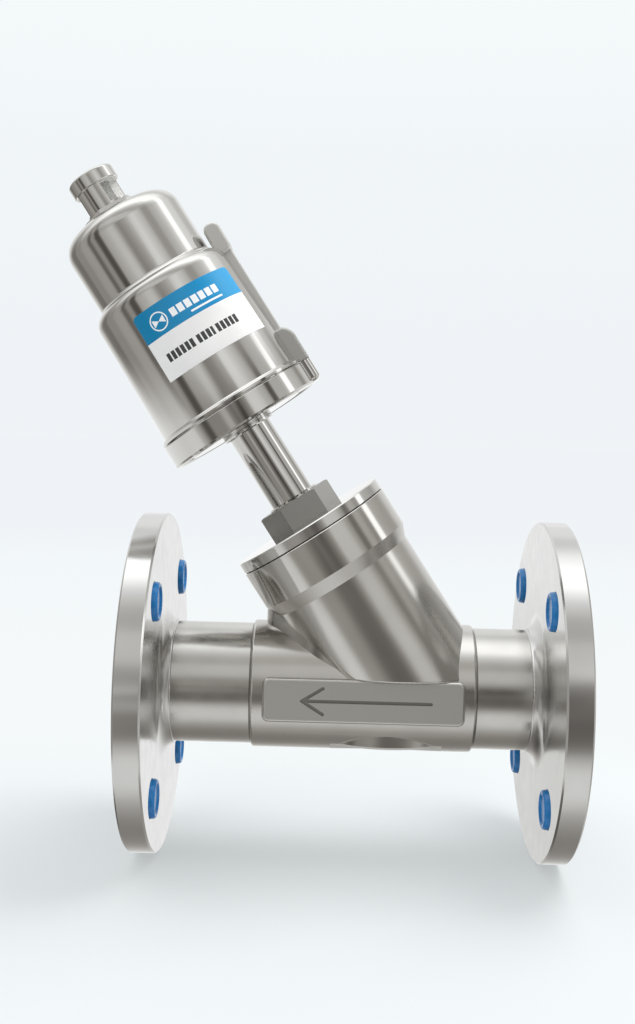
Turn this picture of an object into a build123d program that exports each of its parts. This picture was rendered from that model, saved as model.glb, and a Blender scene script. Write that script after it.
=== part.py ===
from build123d import *
import os
from math import cos, radians, sin, sqrt, tan

os.makedirs("parts", exist_ok=True)

# ---------------------------------------------------------------- driving dimensions (mm)
# Frame: origin at the centre of the inlet flange's bolt circle, on the flange's front plane.
# +X leaves the valve through the inlet, +Z is up, and the stem leans towards the outlet (-X).
FLANGE_SPAN = 200.0      # from one flange front plane to the other
FLANGE_OD = 160.0
FLANGE_T = 12.0
RAISED_R = 51.0
RAISED_H = 1.5
BOLT_PCD = 125.0
BOLT_HOLE_R = 9.0
BORE_R = 25.0            # flow bore, nominal size 50
PIPE_R = 28.5            # pipe outside radius
HUB_L = 5.6              # length of the flared flange hub

BARREL_R = 30.0
BARREL_X0 = -146.2       # outlet end of the cast barrel
BARREL_X1 = -42.8        # inlet end of the cast barrel

STEM_X = -70.5           # where the stem axis crosses the flow axis
TILT = 33.64             # lean of the stem axis from vertical, degrees
LIFT = 13.5              # stroke of the stem

NECK_R = 35.6
NECK_TOP_R = 38.2
NECK_CONE_S0, NECK_CONE_S1, NECK_TOP_S = 63.5, 69.8, 88.2
NECK_FOOT_Z = 8.5        # the neck's front runs down to this height, the top of the name pad

SEAT_R = 22.5
SEAT_S = 6.5             # height of the seat land along the stem axis
WEB_S0, WEB_S1 = -2.0, 4.0
CAVITY_R = 29.5
PLUG_POCKET_R = 27.0
PLUG_POCKET_S = 20.0

BONNET_R = 38.0
BONNET_S0, BONNET_S1 = 88.6, 93.8
HEX_S1 = 105.8
HEX_AF = 32.0
HEX_TURN = 8.2           # degrees from the port side to the nearest hexagon corner
GLAND_R = 11.0

TUBE_R = 10.6
TUBE_BORE_R = 8.0
TUBE_TOP_S = 152.8

STEM_R = 6.0
STEM_END_R = 5.0

BASE_R = 38.7
BASE_S0, BASE_S1 = 147.0, 158.0
LIP_R = 38.5
LIP_S0, LIP_S1 = 158.3, 160.3
CYL_R0, CYL_R1 = 36.5, 34.9   # drafted cylinder, radius at its foot and at its shoulder
CYL_S1 = 219.0
DOME_R = 29.3
DOME_S0 = 225.7
SHELL_TOP_S = 261.8
PISTON_BORE_R = 32.8

PISTON_S0, PISTON_S1 = 162.8, 172.8

RAIL_R = 38.0            # radial reach of the port rail's flat outer face
BLOCK_R = 42.0
PORT_R = 4.3             # tapping radius of the two air ports
LOWER_PORT_S, UPPER_PORT_S = 165.4, 228.2

IND_S0 = 261.9
IND_HEX_S1 = 265.2
IND_HEX_TURN = 14.0      # the hexagon's front flat is turned this far to the port side
IND_R = 10.8
IND_CAP_R = 11.5
IND_CAP_S0 = 277.0
IND_WINDOW_S0, IND_WINDOW_S1 = 266.6, 277.0
IND_WINDOW_A0, IND_WINDOW_A1 = 16.0, 121.0   # window edges, angles from the front to the port side
IND_TOP_S = 284.3
IND_ROD_R = 4.0
IND_ROD_TOP_S = 268.2

# ---------------------------------------------------------------- reference planes
T = radians(TILT)
STEM_DIR = (-sin(T), 0, cos(T))
STEM_AXIS = Axis((STEM_X, 0, 0), STEM_DIR)
# profile plane through the stem axis: sketch x is the radius, sketch y the height s
STEM_PROFILE = Plane(origin=(STEM_X, 0, 0), x_dir=(cos(T), 0, sin(T)), z_dir=(0, -1, 0))
FLOW_PROFILE = Plane(origin=(0, 0, 0), x_dir=(1, 0, 0), z_dir=(0, -1, 0))


def level(s):
    """Plane square to the stem axis at height s; local x points to the port side, local y to +Y."""
    return Plane(
        origin=(STEM_X - s * sin(T), 0, s * cos(T)),
        x_dir=(cos(T), 0, sin(T)),
        z_dir=STEM_DIR,
    )


def turned(*points):
    """A solid turned about the stem axis from (radius, height) points."""
    with BuildPart() as p:
        with BuildSketch(STEM_PROFILE):
            with BuildLine():
                Polyline(*points, close=True)
            make_face()
        revolve(axis=STEM_AXIS)
    return p


def ring(r_in, r_out, s0, s1):
    """A plain ring about the stem axis."""
    return turned((r_in, s0), (r_out, s0), (r_out, s1), (r_in, s1))


# ================================================================ VALVE BODY GROUP
# ---- cast body: barrel, inclined neck, seat web, name pad and drain boss
with BuildPart() as neck_blank:
    with BuildSketch(level(-16)):
        Circle(NECK_R)
    extrude(amount=NECK_CONE_S0 + 16)
    with BuildSketch(Plane.XY.offset(-60)):
        with Locations((STEM_X, 0)):
            Rectangle(200, 100)
    extrude(amount=60 + NECK_FOOT_Z, mode=Mode.SUBTRACT)
    with BuildSketch(Plane.YZ.offset(BARREL_X1 - 2.0)):
        Rectangle(100, 200)
    extrude(amount=40, mode=Mode.SUBTRACT)
    foot = neck_blank.faces().filter_by(Axis.Z).sort_by(Axis.Z)[0]
    front_back = [e for e in foot.edges() if e.geom_type != GeomType.LINE]
    fillet(front_back, 1.0)

# plan outline of the web that fills the corner between barrel and leaning neck
WEB_PLAN = [
    (-140.3, 0), (-138.7, -6.6), (-134.9, -10.8), (-129.4, -15.6), (-124.3, -19.8),
    (-117.8, -23.6), (-110.4, -26.2), (-103.0, -27.8), (-94.0, -28.6),
]
with BuildPart() as corner_web:
    with BuildSketch(Plane.XY.offset(2.0)):
        with BuildLine():
            Spline(
                *[(x, -y) for x, y in reversed(WEB_PLAN[1:])], *WEB_PLAN,
            )
            Line((-94.0, -28.6), (-94.0, 28.6))
        make_face()
    extrude(amount=60)
    split(bisect_by=level(NECK_CONE_S1 - 0.3), keep=Keep.BOTTOM)

with BuildPart() as name_pads:
    # raised pads on the front and the back of the barrel
    for side in (-1, 1):
        with BuildSketch(Plane.XZ.offset(-side * 20)):
            with Locations((-94.35, -1.3)):
                RectangleRounded(92.3, 20.3, 3.2)
        extrude(amount=-side * 11.5)
    rims = [e for e in name_pads.edges() if abs(abs(e.center().Y) - 31.5) < 0.01]
    fillet(rims, 1.4)

with BuildPart() as underside_scoop:
    # a very shallow hollow along the bottom of the barrel, around the drain boss
    with BuildSketch(Plane.XZ.offset(-60)):
        with Locations((-84.0, -27.5 - 290.0)):
            Circle(290)
    extrude(amount=120)

with BuildPart() as valve_body:
    with BuildSketch(Plane.YZ.offset(BARREL_X0)):
        Circle(BARREL_R)
    extrude(amount=BARREL_X1 - BARREL_X0)
    fillet(valve_body.edges().filter_by(GeomType.CIRCLE), 1.3)
    add(underside_scoop.part, mode=Mode.SUBTRACT)
    # drain boss under the seat
    with BuildSketch(Plane.XY.offset(-24.9)):
        with Locations((-83.0, 0)):
            Ellipse(33.0, 23.4)
    extrude(amount=20)
    add(neck_blank.part)
    add(corner_web.part)
    # neck shoulder and machined top
    with BuildSketch(STEM_PROFILE):
        with BuildLine():
            Polyline(
                (0, NECK_CONE_S0 - 2),
                (NECK_R, NECK_CONE_S0 - 2),
                (NECK_R, NECK_CONE_S0),
                (NECK_TOP_R, NECK_CONE_S1),
                (NECK_TOP_R, NECK_TOP_S - 0.3),
                (NECK_TOP_R - 0.3, NECK_TOP_S),
                (0, NECK_TOP_S),
                close=True,
            )
        make_face()
    revolve(axis=STEM_AXIS)
    add(name_pads.part)
    # flow bores on each side of the seat web
    with BuildSketch(Plane.YZ.offset(BARREL_X0 - 1)):
        Circle(BORE_R)
    extrude(amount=1 + (-100 - BARREL_X0), mode=Mode.SUBTRACT)

# the two chambers that meet at the seat web
with BuildPart() as outlet_chamber:
    with BuildSketch(Plane.YZ.offset(-101)):
        Circle(BORE_R)
    extrude(amount=101 + STEM_X)
    split(bisect_by=level(WEB_S1), keep=Keep.TOP)

with BuildPart() as inlet_chamber:
    with BuildSketch(Plane.YZ.offset(-125)):
        Circle(BORE_R)
    extrude(amount=125 + BARREL_X1 + 1)
    split(bisect_by=level(WEB_S0), keep=Keep.BOTTOM)

with BuildPart() as stem_cavity:
    with BuildSketch(STEM_PROFILE):
        with BuildLine():
            Polyline(
                (0, WEB_S0 - 1),
                (SEAT_R, WEB_S0 - 1),
                (SEAT_R, SEAT_S),
                (SEAT_R + 1.2, SEAT_S),
                (SEAT_R + 2.2, WEB_S1),
                (PLUG_POCKET_R, WEB_S1),
                (PLUG_POCKET_R, PLUG_POCKET_S),
                (CAVITY_R, PLUG_POCKET_S + 2.5),
                (CAVITY_R, NECK_TOP_S + 1),
                (0, NECK_TOP_S + 1),
                close=True,
            )
        make_face()
    revolve(axis=STEM_AXIS)

with BuildPart() as flow_arrow:
    # engraved flow arrow on the front pad, pointing to the outlet
    with BuildSketch(Plane.XZ.offset(31.5 - 0.6)):
        with Locations((-93.0, -1.3)):
            SlotOverall(60.0, 1.5)
        for tilt in (32, -32):
            with Locations(Location((-122.3, -1.3), tilt)):
                with Locations((5.6, 0)):
                    SlotOverall(12.7, 1.5)
    extrude(amount=2)

with BuildPart() as valve_body_done:
    add(valve_body.part)
    add(outlet_chamber.part, mode=Mode.SUBTRACT)
    add(inlet_chamber.part, mode=Mode.SUBTRACT)
    add(stem_cavity.part, mode=Mode.SUBTRACT)
    add(flow_arrow.part, mode=Mode.SUBTRACT)
valve_body_done.part.label = "valve_body"

# ---- pipe stubs welded between the barrel and the flange hubs
with BuildPart() as inlet_stub:
    with BuildSketch(FLOW_PROFILE):
        with BuildLine():
            Polyline(
                (BARREL_X1, BORE_R), (BARREL_X1, PIPE_R - 0.5), (BARREL_X1 + 0.5, PIPE_R),
                (-FLANGE_T - HUB_L, PIPE_R), (-FLANGE_T - HUB_L, BORE_R), close=True,
            )
        make_face()
    revolve(axis=Axis.X)
inlet_stub.part.label = "inlet_stub"

with BuildPart() as outlet_stub:
    with BuildSketch(FLOW_PROFILE):
        with BuildLine():
            Polyline(
                (BARREL_X0, BORE_R), (BARREL_X0, PIPE_R - 0.5), (BARREL_X0 - 0.5, PIPE_R),
                (-FLANGE_SPAN + FLANGE_T + HUB_L, PIPE_R), (-FLANGE_SPAN + FLANGE_T + HUB_L, BORE_R),
                close=True,
            )
        make_face()
    revolve(axis=Axis.X)
outlet_stub.part.label = "outlet_stub"


def flange(x_front, inward):
    """A welding-neck flange; inward is -1 for the inlet side and +1 for the outlet side."""
    back = x_front + inward * FLANGE_T
    hub = back + inward * HUB_L
    with BuildPart() as p:
        with BuildSketch(FLOW_PROFILE):
            with BuildLine():
                Polyline(
                    (hub, PIPE_R), (hub, BORE_R),
                    (x_front - inward * RAISED_H, BORE_R),
                    (x_front - inward * RAISED_H, RAISED_R - 0.4),
                    (x_front - inward * (RAISED_H - 0.4), RAISED_R),
                    (x_front, RAISED_R),
                    (x_front, FLANGE_OD / 2 - 0.8),
                    (x_front + inward * 0.8, FLANGE_OD / 2),
                    (back - inward * 0.8, FLANGE_OD / 2),
                    (back, FLANGE_OD / 2 - 0.8),
                    (back, 37.0),
                )
                ThreePointArc(
                    (back, 37.0), (back + inward * 1.9, 31.6), (hub - inward * 0.9, 29.3)
                )
                ThreePointArc(
                    (hub - inward * 0.9, 29.3), (hub - inward * 0.4, 29.25), (hub, PIPE_R)
                )
            make_face()
        revolve(axis=Axis.X)
        with BuildSketch(Plane.YZ.offset(min(x_front, back) - 3)):
            with PolarLocations(BOLT_PCD / 2, 4, start_angle=45):
                Circle(BOLT_HOLE_R)
        extrude(amount=FLANGE_T + 6, mode=Mode.SUBTRACT)
    return p


inlet_flange = flange(0.0, -1)
inlet_flange.part.label = "inlet_flange"
outlet_flange = flange(-FLANGE_SPAN, 1)
outlet_flange.part.label = "outlet_flange"

# ---- bonnet: flanged cap screwed into the neck, with a hexagon and the gland chamber
with BuildPart() as bonnet:
    with BuildSketch(STEM_PROFILE):
        with BuildLine():
            Polyline(
                (0, 58), (14.5, 58), (15.5, 60), (15.5, 74), (28.4, 74), (CAVITY_R - 0.1, 75),
                (CAVITY_R - 0.1, BONNET_S0), (BONNET_R - 0.3, BONNET_S0), (BONNET_R, BONNET_S0 + 0.3),
                (BONNET_R, BONNET_S1 - 0.5), (BONNET_R - 0.5, BONNET_S1), (0, BONNET_S1), close=True,
            )
        make_face()
    revolve(axis=STEM_AXIS)
    with BuildSketch(level(BONNET_S1 - 1.0)):
        RegularPolygon(HEX_AF / 2, 6, major_radius=False, rotation=HEX_TURN)
    extrude(amount=HEX_S1 - BONNET_S1 + 1.0)
    with BuildSketch(level(50)):
        Circle(STEM_R + 0.35)
    extrude(amount=70, mode=Mode.SUBTRACT)
    with BuildSketch(level(64)):
        Circle(GLAND_R)
    extrude(amount=50, mode=Mode.SUBTRACT)
# rounded corners of the hexagon's top face
with BuildPart() as hex_crown:
    with BuildSketch(STEM_PROFILE):
        with BuildLine():
            Polyline((0, 50), (60, 50), (60, BONNET_S1 + 2), (19.4, HEX_S1 - 1.0), (17.4, HEX_S1), (0, HEX_S1), close=True)
        make_face()
    revolve(axis=STEM_AXIS)
with BuildPart() as bonnet_done:
    add(bonnet.part)
    add(hex_crown.part, mode=Mode.INTERSECT)
bonnet_done.part.label = "bonnet"

bonnet_gasket = ring(CAVITY_R + 0.1, 37.5, NECK_TOP_S, BONNET_S0)
bonnet_gasket.part.label = "bonnet_gasket"

# ---- stem packing inside the bonnet
with BuildPart() as packing_spring:
    with BuildLine() as coil:
        Helix(pitch=2.6, height=9.1, radius=8.9, center=(STEM_X - 65.4 * sin(T), 0, 65.4 * cos(T)), direction=STEM_DIR)
    with BuildSketch(Plane(origin=coil.line @ 0, z_dir=coil.line % 0)):
        Circle(0.8)
    sweep(is_frenet=True)
packing_spring.part.label = "packing_spring"

packing_washer = ring(STEM_R + 0.3, GLAND_R - 0.1, 76.0, 78.0)
packing_washer.part.label = "packing_washer"

with BuildPart() as packing_rings:
    # five chevron rings, each a separate solid
    for k in range(5):
        s = 78.1 + k * 2.6
        with BuildSketch(STEM_PROFILE):
            with BuildLine():
                Polyline(
                    (STEM_R + 0.04, s), (8.5, s + 1.1), (GLAND_R - 0.04, s),
                    (GLAND_R - 0.04, s + 1.4), (8.5, s + 2.5), (STEM_R + 0.04, s + 1.4), close=True,
                )
            make_face()
    revolve(axis=STEM_AXIS)
packing_rings.part.label = "packing_rings"

guide_bush = turned(
    (STEM_R + 0.05, 91.2), (GLAND_R - 0.05, 91.2), (GLAND_R - 0.05, 95.0), (STEM_R + 0.05, 95.0)
)
guide_bush.part.label = "guide_bush"

gland_nut = ring(STEM_R + 0.5, GLAND_R - 0.05, 95.05, 98.4)
gland_nut.part.label = "gland_nut"

# ---- yoke tube between the bonnet and the actuator
yoke_tube = turned(
    (TUBE_BORE_R, 98.6), (TUBE_R, 98.6), (TUBE_R, TUBE_TOP_S - 0.6), (TUBE_R - 0.6, TUBE_TOP_S),
    (TUBE_BORE_R, TUBE_TOP_S),
)
yoke_tube.part.label = "yoke_tube"

tube_lock_ring = turned(
    (TUBE_R + 0.03, HEX_S1 + 0.03), (12.7, HEX_S1 + 0.03), (12.7, HEX_S1 + 0.5), (11.9, HEX_S1 + 1.3), (TUBE_R + 0.03, HEX_S1 + 1.3)
)
tube_lock_ring.part.label = "tube_lock_ring"

swivel_collar = turned(
    (TUBE_R + 0.03, 144.4), (12.4, 144.4), (12.9, 144.9), (12.9, 146.9), (TUBE_R + 0.03, 146.9)
)
swivel_collar.part.label = "swivel_collar"

# ================================================================ STEM GROUP (slides along the stem axis)
stem = turned(
    (0, -5.0), (STEM_END_R - 0.8, -5.0), (STEM_END_R, -4.2), (STEM_END_R, 24.0), (STEM_R, 24.0),
    (STEM_R, PISTON_S0), (STEM_END_R, PISTON_S0), (STEM_END_R, 186.0), (0, 186.0),
)
stem.part.label = "stem"

plug = turned(
    (STEM_END_R + 0.05, 9.6), (24.4, 9.6), (25.4, 10.4), (25.4, 13.4), (22.0, 16.6), (12.0, 19.0),
    (9.5, 21.0), (9.5, 24.0), (STEM_END_R + 0.05, 24.0),
)
with BuildPart() as plug_done:
    add(plug.part)
    with BuildSketch(Plane(origin=level(21.6).origin, x_dir=(cos(T), 0, sin(T)), z_dir=(0, -1, 0))):
        Circle(1.52)
    extrude(amount=12, both=True, mode=Mode.SUBTRACT)
plug_done.part.label = "plug"

with BuildPart() as plug_pin:
    # the two visible ends of the cross pin that locks the plug to the stem
    for side in (1, -1):
        with BuildSketch(Plane(origin=level(21.6).origin, x_dir=(cos(T), 0, sin(T)), z_dir=(0, -side, 0)).offset(STEM_END_R + 0.3)):
            Circle(1.5)
        extrude(amount=4.0)
plug_pin.part.label = "plug_pin"

plug_seal = turned((16.0, SEAT_S + 0.03), (25.6, SEAT_S + 0.03), (25.6, 9.5), (16.0, 9.5))
plug_seal.part.label = "plug_seal"

seal_retainer = turned(
    (STEM_END_R + 0.05, 3.9), (18.2, 3.9), (19.2, 4.9), (19.2, 6.4), (15.9, 6.4), (15.9, 9.5), (STEM_END_R + 0.05, 9.5)
)
seal_retainer.part.label = "seal_retainer"


def hex_nut(af, bore_r, s0, s1):
    """A hexagon nut with chamfered corners about the stem axis."""
    corner = af / sqrt(3)
    with BuildPart() as crown:
        with BuildSketch(STEM_PROFILE):
            with BuildLine():
                Polyline(
                    (bore_r, s0), (af / 2, s0), (corner, s0 + 0.7), (corner, s1 - 0.7), (af / 2, s1), (bore_r, s1), close=True
                )
            make_face()
        revolve(axis=STEM_AXIS)
    with BuildPart() as p:
        with BuildSketch(level(s0)):
            RegularPolygon(af / 2, 6, major_radius=False)
            Circle(bore_r, mode=Mode.SUBTRACT)
        extrude(amount=s1 - s0)
        add(crown.part, mode=Mode.INTERSECT)
    return p


plug_nut = hex_nut(17.0, STEM_END_R + 0.05, -3.2, 3.8)
plug_nut.part.label = "plug_nut"

piston = turned(
    (STEM_END_R + 0.05, PISTON_S0), (31.2, PISTON_S0), (32.2, PISTON_S0 + 1.0), (32.2, 165.0), (28.8, 165.0),
    (28.8, 168.6), (32.2, 168.6), (32.2, 169.8), (31.2, 169.8), (31.2, 171.6), (32.2, 171.6),
    (32.2, PISTON_S1 - 0.4), (31.8, PISTON_S1), (STEM_END_R + 0.05, PISTON_S1),
)
piston.part.label = "piston"

piston_seal = ring(28.9, PISTON_BORE_R - 0.05, 165.1, 168.5)
piston_seal.part.label = "piston_seal"

piston_wear_ring = ring(31.3, PISTON_BORE_R - 0.08, 169.9, 171.5)
piston_wear_ring.part.label = "piston_wear_ring"

piston_washer = ring(STEM_END_R + 0.1, 11.0, PISTON_S1, PISTON_S1 + 2.0)
piston_washer.part.label = "piston_washer"

piston_nut = hex_nut(17.0, STEM_END_R + 0.05, PISTON_S1 + 2.0, PISTON_S1 + 10.0)
piston_nut.part.label = "piston_nut"

indicator_rod = turned(
    (0, 186.0), (IND_ROD_R, 186.0), (IND_ROD_R, IND_ROD_TOP_S - 1.0), (IND_ROD_R - 1.0, IND_ROD_TOP_S), (0, IND_ROD_TOP_S)
)
indicator_rod.part.label = "indicator_rod"

# ================================================================ ACTUATOR GROUP (turns about the stem axis)
# ---- shell envelope, outside surface only
with BuildPart() as shell_envelope:
    with BuildSketch(STEM_PROFILE):
        with BuildLine():
            Polyline(
                (0, LIP_S0), (LIP_R - 0.4, LIP_S0), (LIP_R, LIP_S0 + 0.4), (LIP_R, LIP_S1 - 0.6), (LIP_R - 0.6, LIP_S1),
                (CYL_R0 + 0.5, LIP_S1 + 0.2), (CYL_R0, LIP_S1 + 0.8), (CYL_R1, CYL_S1),
            )
            ThreePointArc((CYL_R1, CYL_S1), (CYL_R1 - 1.55, CYL_S1 + 3.9), (CYL_R1 - 3.9, CYL_S1 + 5.6))
            Line((CYL_R1 - 3.9, CYL_S1 + 5.6), (DOME_R + 0.9, DOME_S0 - 0.2))
            ThreePointArc((DOME_R + 0.9, DOME_S0 - 0.2), (DOME_R + 0.25, DOME_S0 + 0.15), (DOME_R, DOME_S0 + 0.9))
            Line((DOME_R, DOME_S0 + 0.9), (DOME_R - 0.1, 252.6))
            ThreePointArc((DOME_R - 0.1, 252.6), (DOME_R - 2.8, 258.9), (DOME_R - 9.2, 261.4))
            Line((DOME_R - 9.2, 261.4), (12.5, SHELL_TOP_S))
            Polyline((12.5, SHELL_TOP_S), (0, SHELL_TOP_S), (0, LIP_S0))
        make_face()
    revolve(axis=STEM_AXIS)

shell_inside = turned(
    (0, LIP_S0 - 1), (PISTON_BORE_R, LIP_S0 - 1), (PISTON_BORE_R, 217.0), (27.2, 224.0), (27.2, 251.0), (25.6, 256.4),
    (20.0, 259.4), (0, 259.6),
)
with BuildPart() as actuator_shell:
    add(shell_envelope.part)
    add(shell_inside.part, mode=Mode.SUBTRACT)
    with BuildSketch(level(255)):
        Circle(8.05)
    extrude(amount=10, mode=Mode.SUBTRACT)
    # air holes behind the two ports
    for s in (163.4, 225.9):
        with BuildSketch(Plane(origin=level(s).origin, x_dir=(0, 1, 0), z_dir=(cos(T), 0, sin(T))).offset(25)):
            Circle(1.0)
        extrude(amount=14, mode=Mode.SUBTRACT)
actuator_shell.part.label = "actuator_shell"

# ---- base plate with spanner notches, swivel bearing and a boss on the port side
with BuildPart() as base_boss:
    with BuildSketch(level(BASE_S0 + 0.3)):
        with Locations((34.0, 0)):
            Rectangle(15.6, 19.0)
    extrude(amount=BASE_S1 - BASE_S0 - 0.3)
    outer_corners = [
        e for e in base_boss.edges().filter_by(Axis(level(0).origin, STEM_DIR))
        if level(0).to_local_coords(e.center()).X > 41.0
    ]
    fillet(outer_corners, 3.4)
    outer_foot = [
        e for e in base_boss.edges()
        if abs(level(0).to_local_coords(e.center()).Z - (BASE_S0 + 0.3)) < 0.02
        and level(0).to_local_coords(e.center()).X > 30.0
    ]
    fillet(outer_foot, 2.4)

with BuildPart() as actuator_base:
    with BuildSketch(STEM_PROFILE):
        with BuildLine():
            Polyline(
                (TUBE_R + 0.06, BASE_S0), (29.0, BASE_S0), (30.0, BASE_S0 + 0.8), (36.2, BASE_S0 + 0.8), (37.0, BASE_S0), (BASE_R - 0.9, BASE_S0),
                (BASE_R, BASE_S0 + 0.9), (BASE_R, BASE_S1 - 0.6), (BASE_R - 0.6, BASE_S1), (PISTON_BORE_R - 0.03, BASE_S1),
                (PISTON_BORE_R - 0.03, 159.2), (30.6, 159.2), (30.6, 161.2), (PISTON_BORE_R - 0.03, 161.2),
                (PISTON_BORE_R - 0.03, 161.9), (PISTON_BORE_R - 0.4, 162.3), (22.0, 162.3), (20.0, 160.0), (14.0, 160.0), (12.0, 162.3), (10.5, 162.3),
                (8.6, 162.0), (8.6, 153.0), (TUBE_R + 0.06, 153.0), close=True,
            )
        make_face()
    revolve(axis=STEM_AXIS)
    # boss for the port side
    add(base_boss.part)
    # spanner notches around the underside
    with BuildSketch(level(BASE_S0 - 1)):
        with PolarLocations(33.1, 8, start_angle=22.5):
            Rectangle(5.6, 3.4)
    extrude(amount=4.2, mode=Mode.SUBTRACT)
actuator_base.part.label = "actuator_base"

base_o_ring = ring(30.7, PISTON_BORE_R - 0.05, 159.3, 161.1)
base_o_ring.part.label = "base_o_ring"

rod_bush = ring(STEM_R + 0.06, 8.55, 153.2, 158.0)
rod_bush.part.label = "rod_bush"

rod_seal = ring(STEM_R + 0.06, 8.55, 158.2, 161.8)
rod_seal.part.label = "rod_seal"

# ---- port rail: lower block, strip and upper block on the side of the shell
def rim_edges(p, half):
    return [e for e in p.edges() if abs(abs(e.center().Y) - half) < 0.01]


with BuildPart() as lower_block:
    with BuildSketch(STEM_PROFILE):
        with BuildLine():
            Polyline((24, LIP_S0 - 4), (BLOCK_R - 0.1, LIP_S0 - 4), (BLOCK_R, 169.6))
            ThreePointArc((BLOCK_R, 169.6), (BLOCK_R - 1.1, 173.9), (38.4, 176.4))
            Polyline((38.4, 176.4), (32, 177.4), (24, 177.4), (24, LIP_S0 - 4))
        make_face()
    extrude(amount=8.7, both=True)
    fillet(rim_edges(lower_block, 8.7), 1.4)
    split(bisect_by=level(LIP_S0), keep=Keep.TOP)

with BuildPart() as strip:
    with BuildSketch(level(165)):
        with Locations(((RAIL_R + 24) / 2, 0)):
            Rectangle(RAIL_R - 24, 11.4)
    extrude(amount=59)
    strip_edges = [
        e for e in strip.edges().filter_by(Axis(level(0).origin, STEM_DIR))
        if level(0).to_local_coords(e.center()).X > 37.5
    ]
    fillet(strip_edges, 0.9)

with BuildPart() as upper_block:
    with BuildSketch(STEM_PROFILE):
        with BuildLine():
            Polyline((30.6, 219.0), (37.9, 219.0), (38.9, 221.8), (39.0, 230.4))
            ThreePointArc((39.0, 230.4), (38.2, 233.2), (35.6, 234.6))
            ThreePointArc((35.6, 234.6), (32.9, 234.2), (31.1, 231.6))
            Line((31.1, 231.6), (30.6, 219.0))
        make_face()
    extrude(amount=8.2, both=True)
    fillet(rim_edges(upper_block, 8.2), 1.4)

with BuildPart() as port_rail:
    add(strip.part)
    add(lower_block.part)
    add(upper_block.part)
    add(shell_envelope.part, mode=Mode.SUBTRACT)
    # tapped air ports, square to the stem axis
    with BuildSketch(Plane(origin=level(LOWER_PORT_S).origin, x_dir=(0, 1, 0), z_dir=(cos(T), 0, sin(T))).offset(37.0)):
        Circle(PORT_R)
    extrude(amount=12, mode=Mode.SUBTRACT)
    with BuildSketch(Plane(origin=level(UPPER_PORT_S).origin, x_dir=(0, 1, 0), z_dir=(cos(T), 0, sin(T))).offset(33)):
        Circle(PORT_R)
    extrude(amount=12, mode=Mode.SUBTRACT)
    # air drillings from the ports to the two chambers
    with BuildSketch(Plane(origin=level(163.4).origin, x_dir=(0, 1, 0), z_dir=(cos(T), 0, sin(T))).offset(30)):
        Circle(1.0)
    extrude(amount=9, mode=Mode.SUBTRACT)
    with BuildSketch(Plane(origin=level(225.9).origin, x_dir=(0, 1, 0), z_dir=(cos(T), 0, sin(T))).offset(28)):
        Circle(1.0)
    extrude(amount=7, mode=Mode.SUBTRACT)
port_rail.part.label = "port_rail"

# ---- closing spring above the piston
with BuildPart() as return_spring:
    with BuildLine() as spring_line:
        Helix(
            pitch=12.4, height=78.0, radius=21.2,
            center=(STEM_X - 175.6 * sin(T), 0, 175.6 * cos(T)), direction=STEM_DIR,
        )
    with BuildSketch(Plane(origin=spring_line.line @ 0, z_dir=spring_line.line % 0)):
        Circle(2.4)
    sweep(is_frenet=True)
return_spring.part.label = "return_spring"

# ---- position indicator on top of the dome
with BuildPart() as window_cutter:
    # two opposite wedges, seen along the stem axis
    for half_turn in (0, 180):
        with BuildSketch(level(IND_WINDOW_S0)):
            with BuildLine():
                a0 = radians(IND_WINDOW_A0 - 90 + half_turn)
                a1 = radians((IND_WINDOW_A0 + IND_WINDOW_A1) / 2 - 90 + half_turn)
                a2 = radians(IND_WINDOW_A1 - 90 + half_turn)
                Polyline(
                    (0, 0), (20 * cos(a0), 20 * sin(a0)), (30 * cos(a1), 30 * sin(a1)),
                    (20 * cos(a2), 20 * sin(a2)), close=True,
                )
            make_face()
        extrude(amount=IND_WINDOW_S1 - IND_WINDOW_S0)

with BuildPart() as indicator_housing:
    with BuildSketch(STEM_PROFILE):
        with BuildLine():
            Polyline(
                (0, 256.4), (7.9, 256.4), (7.9, IND_S0), (IND_R, IND_S0), (IND_R, IND_CAP_S0),
                (IND_CAP_R - 0.3, IND_CAP_S0), (IND_CAP_R, IND_CAP_S0 + 0.3), (IND_CAP_R, IND_TOP_S - 1.9),
            )
            ThreePointArc((IND_CAP_R, IND_TOP_S - 1.9), (IND_CAP_R - 0.4, IND_TOP_S - 1.0), (IND_CAP_R - 1.3, IND_TOP_S - 0.6))
            Polyline((IND_CAP_R - 1.3, IND_TOP_S - 0.6), (0, IND_TOP_S), (0, 256.4))
        make_face()
    revolve(axis=STEM_AXIS)
    with BuildSketch(level(IND_S0)):
        RegularPolygon(12.0, 6, major_radius=False, rotation=IND_HEX_TURN)
    extrude(amount=IND_HEX_S1 - IND_S0)
    with BuildSketch(level(IND_S0)):
        Circle(10.5)
        Circle(7.9, mode=Mode.SUBTRACT)
    extrude(amount=1.3, mode=Mode.SUBTRACT)
    with BuildSketch(level(250)):
        Circle(IND_ROD_R + 0.1)
    extrude(amount=17, mode=Mode.SUBTRACT)
    with BuildSketch(level(IND_WINDOW_S0)):
        Circle(6.6)
    extrude(amount=282.4 - IND_WINDOW_S0, mode=Mode.SUBTRACT)
    add(window_cutter.part, mode=Mode.SUBTRACT)
indicator_housing.part.label = "indicator_housing"

indicator_o_ring = ring(8.1, 10.3, SHELL_TOP_S + 0.02, IND_S0 + 1.1)
indicator_o_ring.part.label = "indicator_o_ring"


# ---- rating label on the front of the cylinder
def cyl_r(s):
    return CYL_R0 + (CYL_R1 - CYL_R0) * (s - LIP_S1 - 0.8) / (CYL_S1 - LIP_S1 - 0.8)


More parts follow.
